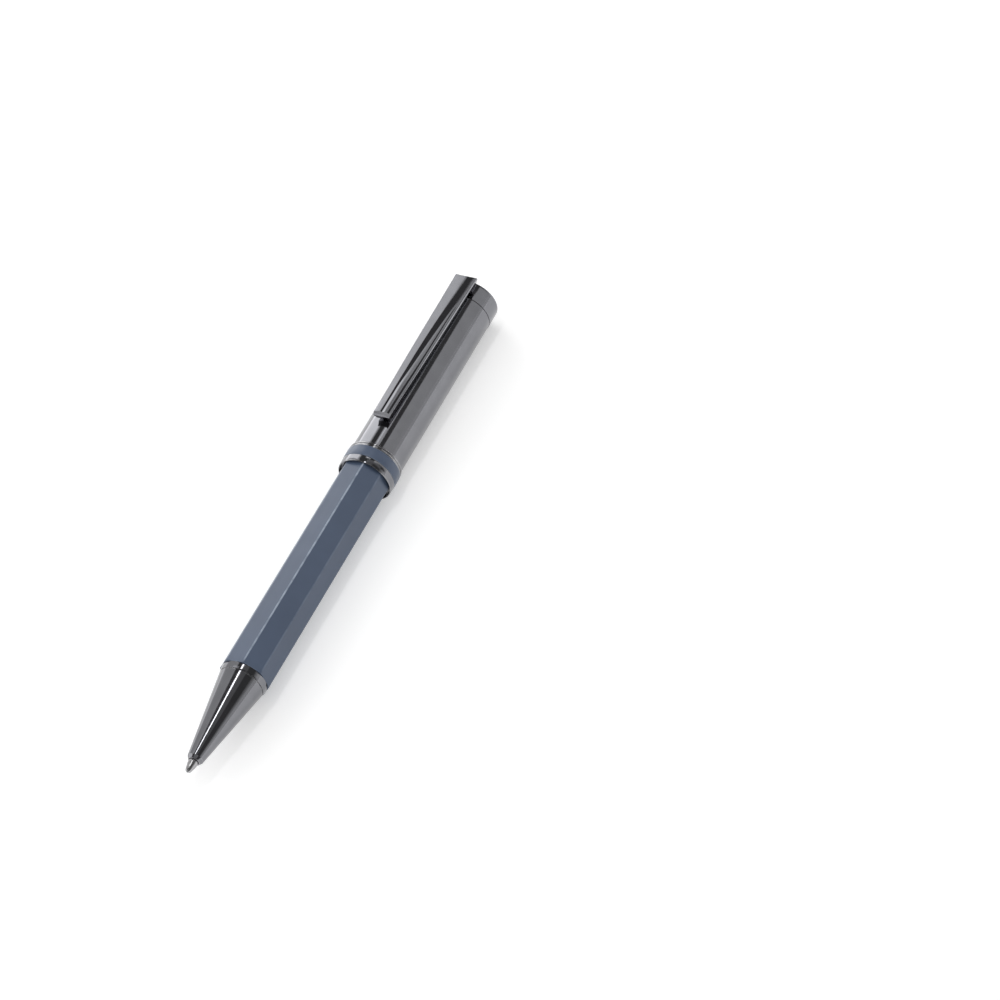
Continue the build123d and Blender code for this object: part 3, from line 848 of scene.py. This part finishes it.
        for side in (-1, 1):
            bmesh.ops.bisect_plane(
                shape, geom=whole(underside()), plane_co=(0.0, side * width / 2, 0.0),
                plane_no=(0.0, 1.0, 0.0))
        middle = [face for face in underside() if abs(face.calc_center_median().y) < width / 4]
        grown = bmesh.ops.extrude_face_region(shape, geom=whole(middle))
        moved = only(bmesh.types.BMVert, grown["geom"])
        bmesh.ops.translate(shape, vec=(0.0, 0.0, -height), verts=moved)
        low = [edge for edge in shape.edges if all(vert in moved for vert in edge.verts)]
        bevel_edges(shape, low, min(widest_round, height * round_share), round_steps)


class PEN_OT_inner_pieces(bpy.types.Operator):
    """Give the pieces inside the pen their finishes"""

    bl_idname = "pen.inner_pieces"
    bl_label = "Inner pieces"

    def execute(self, context):
        looks = {
            brass: ("front_bush", "rear_bush", "mechanism_housing", "cam_sleeve", "cap_plug",
                    "refill_tube"),
            steel: ("cross_pin", "return_spring", "clip_ring", "retainer"),
            plastic: ("refill_holder", "refill_tail", "plunger", "thrust_washer"),
            rubber: ("drag_ring",),
        }
        for look, nodes in looks.items():
            for node in nodes:
                paint(node, look())
        return {"FINISHED"}


# Each soft panel's turns from straight up, in degrees, its places along the pen, in metres, and
# its brightness. Panels that share an edge region are stepped, so that the light falls off softly.
PANELS = {
    "left_back_outer": ((-90.0, -36.5), (0.26, 0.54), 0.67),
    "left_back_middle": ((-90.0, -33.5), (0.26, 0.54), 0.67),
    "left_back_inner": ((-90.0, -29.0), (0.26, 0.54), 0.67),
    "left_side": ((-90.0, -24.0), (-0.03, 0.26), 0.62),
    "left_front": ((-88.0, -40.0), (-0.45, -0.1), 1.5),
    "overhead_front": ((-42.0, -14.0), (-0.09, 0.05), 0.48),
    "overhead_strip": ((-4.6, 0.9), (-0.03, 0.20), 8.5),
    "overhead_glow": ((1.0, 60.0), (0.26, 0.345), 0.2),
    "overhead_front_glow": ((1.0, 27.0), (-0.03, 0.25), 0.14),
    "overhead_back": ((-10.0, 9.0), (0.345, 0.52), 0.95),
    "overhead_back_line": ((-6.0, -0.5), (0.345, 0.52), 0.8),
    "right_back": ((27.0, 81.0), (0.345, 0.56), 0.63),
    "right_side_outer": ((73.0, 82.0), (-0.03, 0.26), 0.25),
    "right_side_middle": ((66.0, 82.0), (-0.03, 0.26), 0.2),
    "right_side_inner": ((60.0, 82.0), (-0.03, 0.26), 0.17),
    "front": ((-16.0, 45.0), (-0.70, -0.15), 0.3),
}
# Distance of the panels from the pen's axis, in metres.
PANEL_DISTANCE = 0.55
# Half the floor's width and, in metres from its middle, where its added white starts and ends
# its rise.
FLOOR_REACH = 3.0
LIFT_DISTANCES = (0.2, 0.8)
FLOOR_ROUGHNESS = 0.9
# Heights in the background, from level to straight up, and its brightness there in the metal.
HORIZON_FADE = ((0.0, 1.0), (0.10, 0.75), (0.17, 0.10))
# The camera's place in metres, its view and upward directions, its lens and sensor in mm, and
# the nearest distance that it sees.
CAMERA_PLACE = (-0.44228, -0.37355, 0.62844)
CAMERA_LOOK = (0.5428, 0.4048, -0.7359)
CAMERA_UP = (0.7272, 0.2118, 0.6529)
CAMERA_LENS = 143.08
CAMERA_SENSOR = 36.0
CAMERA_NEAREST = 0.05


def add_softbox(name, turns, places, brightness):
    """Soft panel along the pen that lights it and mirrors in it, unseen by the camera."""
    angle = math.radians(sum(turns) / 2)
    lamp = bpy.data.lights.new(name, "AREA")
    lamp.shape = "RECTANGLE"
    lamp.size = 2 * PANEL_DISTANCE * math.tan(math.radians(turns[1] - turns[0]) / 2)
    lamp.size_y = places[1] - places[0]
    lamp.energy = brightness * math.pi * lamp.size * lamp.size_y
    holder = bpy.data.objects.new(name, lamp)
    bpy.context.scene.collection.objects.link(holder)
    holder.visible_camera = False
    back = Vector((0.0, -math.sin(angle), math.cos(angle)))
    side = ALONG.cross(back)
    turn = Matrix((side, back.cross(side), back)).transposed().to_4x4()
    centre = Vector((sum(places) / 2, 0.0, AXIS_Z)) + back * PANEL_DISTANCE
    holder.matrix_world = Matrix.Translation(centre) @ turn


class PEN_OT_stage(bpy.types.Operator):
    """Set the floor, the soft light, the white background and the camera"""

    bl_idname = "pen.stage"
    bl_label = "Studio"

    def execute(self, context):
        self.add_floor(context)
        self.add_background(context)
        for name, (turns, places, brightness) in PANELS.items():
            add_softbox(name, turns, places, brightness)
        self.add_camera(context)
        context.scene.view_settings.view_transform = "Standard"
        return {"FINISHED"}

    def add_floor(self, context):
        """Pale floor that keeps the pen's shadow and is lifted towards white where it is seen."""
        studio = context.scene.pen_studio
        shape = bmesh.new()
        bmesh.ops.create_grid(shape, x_segments=1, y_segments=1, size=FLOOR_REACH)
        mesh = bpy.data.meshes.new("studio_floor")
        shape.to_mesh(mesh)
        shape.free()
        floor = bpy.data.objects.new("studio_floor", mesh)
        context.scene.collection.objects.link(floor)
        material = bpy.data.materials.new("pale_floor")
        material.use_nodes = True
        tree = material.node_tree
        shader = tree.nodes["Principled BSDF"]
        shader.inputs["Base Color"].default_value = [*studio.floor, 1.0]
        shader.inputs["Roughness"].default_value = FLOOR_ROUGHNESS
        shader.inputs["Specular IOR Level"].default_value = 0.0
        shader.inputs["Emission Color"].default_value = WHITE
        white = self.lift_by_distance(tree, (studio.floor_lift, studio.floor_far_lift))
        lift = multiply(tree, self.seen_directly(tree), white)
        tree.links.new(lift, shader.inputs["Emission Strength"])
        mesh.materials.append(material)

    def lift_by_distance(self, tree, lifts):
        """White added to the floor, from one share near the pen to another far from it."""
        place = add_node(tree, "ShaderNodeTexCoord")
        distance = add_node(tree, "ShaderNodeVectorMath", operation="LENGTH")
        tree.links.new(place.outputs["Object"], distance.inputs[0])
        return map_range(
            tree, distance.outputs["Value"], LIFT_DISTANCES, lifts,
            interpolation_type="SMOOTHSTEP")

    def seen_directly(self, tree):
        """One for rays from the camera, from metal or through glass, and none for soft light."""
        path = add_node(tree, "ShaderNodeLightPath")
        total = path.outputs["Is Camera Ray"]
        for other in ("Is Glossy Ray", "Is Transmission Ray"):
            both = add_node(tree, "ShaderNodeMath", operation="MAXIMUM")
            tree.links.new(total, both.inputs[0])
            tree.links.new(path.outputs[other], both.inputs[1])
            total = both.outputs["Value"]
        return total

    def add_background(self, context):
        """White world where it is seen, dimmer overhead in the metal, and soft light from it."""
        world = bpy.data.worlds.new("white_studio")
        context.scene.world = world
        world.use_nodes = True
        tree = world.node_tree
        backdrop = tree.nodes["Background"]
        output = tree.nodes["World Output"]
        path = add_node(tree, "ShaderNodeLightPath")
        strength = context.scene.pen_studio.ambient
        in_metal = self.fade_by_height(tree)
        rays = {"Is Glossy Ray": in_metal, "Is Transmission Ray": 1.0, "Is Camera Ray": 1.0}
        for ray, seen in rays.items():
            choice = add_node(tree, "ShaderNodeMix", data_type="FLOAT")
            tree.links.new(path.outputs[ray], choice.inputs["Factor"])
            for key, value in (("A", strength), ("B", seen)):
                if isinstance(value, float):
                    choice.inputs[key].default_value = value
                else:
                    tree.links.new(value, choice.inputs[key])
            strength = choice.outputs["Result"]
        backdrop.inputs["Color"].default_value = WHITE
        tree.links.new(strength, backdrop.inputs["Strength"])
        tree.links.new(backdrop.outputs["Background"], output.inputs["Surface"])

    def fade_by_height(self, tree):
        """Brightness of the background in the metal, from the horizon up."""
        place = add_node(tree, "ShaderNodeTexCoord")
        height = add_node(tree, "ShaderNodeSeparateXYZ")
        tree.links.new(place.outputs["Generated"], height.inputs["Vector"])
        fade = add_node(tree, "ShaderNodeValToRGB")
        fade.color_ramp.elements.new(0.5)
        for element, (place_up, share) in zip(fade.color_ramp.elements, HORIZON_FADE):
            element.position = place_up
            element.color = (share, share, share, 1.0)
        tree.links.new(height.outputs["Z"], fade.inputs["Fac"])
        return fade.outputs["Color"]

    def add_camera(self, context):
        """Camera at the photograph's view of the pen."""
        lens = bpy.data.cameras.new("photo_camera")
        lens.lens = CAMERA_LENS
        lens.sensor_width = CAMERA_SENSOR
        lens.clip_start = CAMERA_NEAREST
        camera = bpy.data.objects.new("photo_camera", lens)
        context.scene.collection.objects.link(camera)
        look = Vector(CAMERA_LOOK).normalized()
        side = look.cross(Vector(CAMERA_UP)).normalized()
        turn = Matrix((side, side.cross(look), -look)).transposed().to_4x4()
        camera.matrix_world = Matrix.Translation(CAMERA_PLACE) @ turn
        context.scene.camera = camera


class PEN_PT_sidebar(bpy.types.Panel):
    """Sizes, finishes and steps of the pen"""

    bl_idname = "PEN_PT_sidebar"
    bl_label = "Twist pen"
    bl_space_type = "VIEW_3D"
    bl_region_type = "UI"
    bl_category = "Pen"

    def draw(self, context):
        scene = context.scene
        for group in (scene.pen_sizes, scene.pen_finishes, scene.pen_studio):
            box = self.layout.box()
            for key in group.__annotations__:
                box.prop(group, key)
        for step in STEPS:
            self.layout.operator(step.bl_idname)


GROUPS = {"pen_sizes": PenSizes, "pen_finishes": PenFinishes, "pen_studio": PenStudio}
STEPS = (
    PEN_OT_writing_point, PEN_OT_nose, PEN_OT_barrel, PEN_OT_ring_and_band, PEN_OT_cap,
    PEN_OT_finial, PEN_OT_clip, PEN_OT_inner_pieces, PEN_OT_stage,
)


def register():
    for kind in (*GROUPS.values(), *STEPS, PEN_PT_sidebar):
        bpy.utils.register_class(kind)
    for name, kind in GROUPS.items():
        setattr(bpy.types.Scene, name, bpy.props.PointerProperty(type=kind))


def unregister():
    for name in GROUPS:
        delattr(bpy.types.Scene, name)
    for kind in (PEN_PT_sidebar, *reversed(STEPS), *reversed(GROUPS.values())):
        bpy.utils.unregister_class(kind)


def main():
    register()
    for step in STEPS:
        group, name = step.bl_idname.split(".")
        getattr(getattr(bpy.ops, group), name)()


if __name__ == "__main__":
    main()
